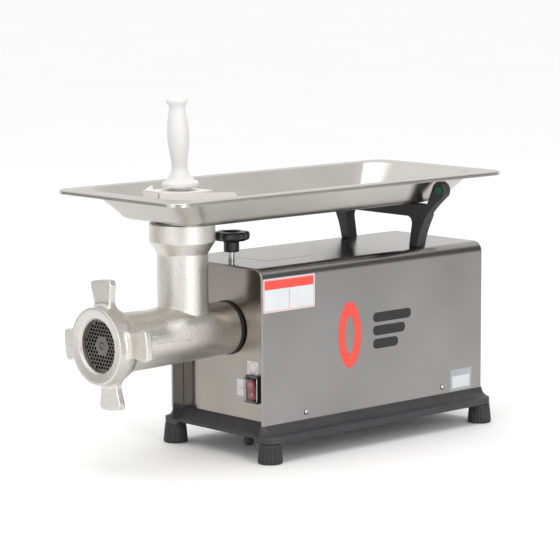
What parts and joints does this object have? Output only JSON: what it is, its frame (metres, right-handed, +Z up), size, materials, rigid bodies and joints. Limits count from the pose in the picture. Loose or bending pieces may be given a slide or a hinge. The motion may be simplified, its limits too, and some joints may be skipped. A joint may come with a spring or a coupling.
{
  "type": "electric meat grinder",
  "caption": "Countertop electric meat grinder: a steel-clad geared motor drives a worm, knife and hole plate in a removable head under a feed tray with a plunger.",
  "frame": {"origin": "centre of the bounding box in plan, on the table under the feet", "axes": "+Z up, +Y from the outlet towards the rear of the drive housing, +X to the side that the switch is on"},
  "size_m": [0.2662, 0.662, 0.5006],
  "materials": {
    "stainless": "fine brushed stainless sheet",
    "tinned_cast": "hot-tinned cast iron, lightly grained",
    "plate_steel": "ground carbon steel",
    "bright_steel": "bright machined steel",
    "grey_casting": "dark grey textured paint",
    "black_casting": "black satin paint on a casting",
    "rubber": "black rubber",
    "black_plastic": "satin black plastic",
    "white_plastic": "food-grade white plastic",
    "green_plastic": "green plastic",
    "red_plastic": "red plastic",
    "clear_plastic": "clear flexible plastic",
    "iron": "plain iron and steel",
    "aluminium": "cast aluminium",
    "lamination": "varnished laminations"
  },
  "bodies": {
    "frame": {"housing_cover": "stainless", "front_panel": "stainless", "rear_panel": "stainless", "motor_housing": "stainless", "cover_screw_front_right": "bright_steel", "cover_screw_front_left": "bright_steel", "cover_screw_rear_right": "bright_steel", "cover_screw_rear_left": "bright_steel", "drive_bearing_front": "bright_steel", "drive_bearing_rear": "bright_steel", "idler_bearing_front": "bright_steel", "idler_bearing_rear": "bright_steel", "motor_bearing_front": "bright_steel", "motor_bearing_rear": "bright_steel", "base_frame": "grey_casting", "tray_bracket": "black_casting", "foot_front_left": "rubber", "foot_front_right": "rubber", "foot_rear_left": "rubber", "foot_rear_right": "rubber", "shaft_seal": "rubber", "cord_gland": "black_plastic", "gland_nut": "black_plastic", "switch_body": "black_plastic", "terminal_block": "white_plastic", "bracket_plug_left": "green_plastic", "bracket_plug_right": "green_plastic", "switch_boot": "clear_plastic", "chassis_plate": "iron", "motor_cradle": "iron", "gearbox_cover": "aluminium", "gearbox_body": "aluminium", "motor_front_bell": "aluminium", "motor_rear_bell": "aluminium", "run_capacitor": "aluminium", "motor_stator": "lamination"},
    "head": {"grinder_head": "tinned_cast", "head_gasket": "rubber", "hole_plate": "plate_steel", "thrust_washer": "bright_steel"},
    "worm": {"feed_worm": "tinned_cast", "cutter_knife": "bright_steel"},
    "ring_nut": {"ring_nut": "tinned_cast"},
    "tray": {"tray": "stainless", "tray_neck": "stainless", "throat_guard": "stainless"},
    "plunger": {"plunger": "white_plastic"},
    "knob": {"clamp_knob": "black_plastic", "clamp_stud": "bright_steel"},
    "rocker": {"switch_rocker": "red_plastic"},
    "drive": {"drive_shaft": "bright_steel", "output_gear": "iron"},
    "idler": {"idler_shaft": "bright_steel", "idler_gear": "iron", "idler_pinion": "bright_steel"},
    "rotor": {"motor_shaft": "bright_steel", "motor_rotor": "lamination", "motor_pinion": "bright_steel", "motor_fan": "black_plastic"}
  },
  "joints": [
    {"name": "rotor_spin", "type": "hinge", "parent": "frame", "child": "rotor", "pos_m": [0, -0.12, 0.145], "axis": [0, 1, 0], "continuous": true},
    {"name": "idler_spin", "type": "hinge", "parent": "frame", "child": "idler", "pos_m": [-0.03964, -0.12, 0.11619], "axis": [0, 1, 0], "continuous": true},
    {"name": "drive_spin", "type": "hinge", "parent": "frame", "child": "drive", "pos_m": [0, -0.12, 0.1754], "axis": [0, 1, 0], "continuous": true},
    {"name": "head_slide", "type": "slide", "parent": "frame", "child": "head", "axis": [0, -1, 0], "range_m": [0, 0.09]},
    {"name": "worm_spin", "type": "hinge", "parent": "head", "child": "worm", "pos_m": [0, -0.12, 0.1754], "axis": [0, 1, 0], "continuous": true},
    {"name": "ring_nut_turn", "type": "hinge", "parent": "head", "child": "ring_nut", "pos_m": [0, -0.12, 0.1754], "axis": [0, 1, 0], "range_deg": [0, 1080]},
    {"name": "tray_lift", "type": "slide", "parent": "head", "child": "tray", "axis": [0, 0, 1], "range_m": [0, 0.1]},
    {"name": "plunger_slide", "type": "slide", "parent": "tray", "child": "plunger", "axis": [0, -0.0419, 0.9991], "range_m": [0, 0.14]},
    {"name": "knob_turn", "type": "hinge", "parent": "frame", "child": "knob", "pos_m": [0, -0.089, 0], "axis": [0, 0, 1], "range_deg": [0, 1440]},
    {"name": "rocker_tilt", "type": "hinge", "parent": "frame", "child": "rocker", "pos_m": [0.0576, -0.0995, 0.0958], "axis": [-1, 0, 0], "range_deg": [0, 12]}
  ],
  "couplings": [
    {"joint": "idler_spin", "follows": "rotor_spin", "ratio": -0.33333},
    {"joint": "drive_spin", "follows": "rotor_spin", "ratio": 0.11905},
    {"joint": "worm_spin", "follows": "rotor_spin", "ratio": 0.11905}
  ]
}
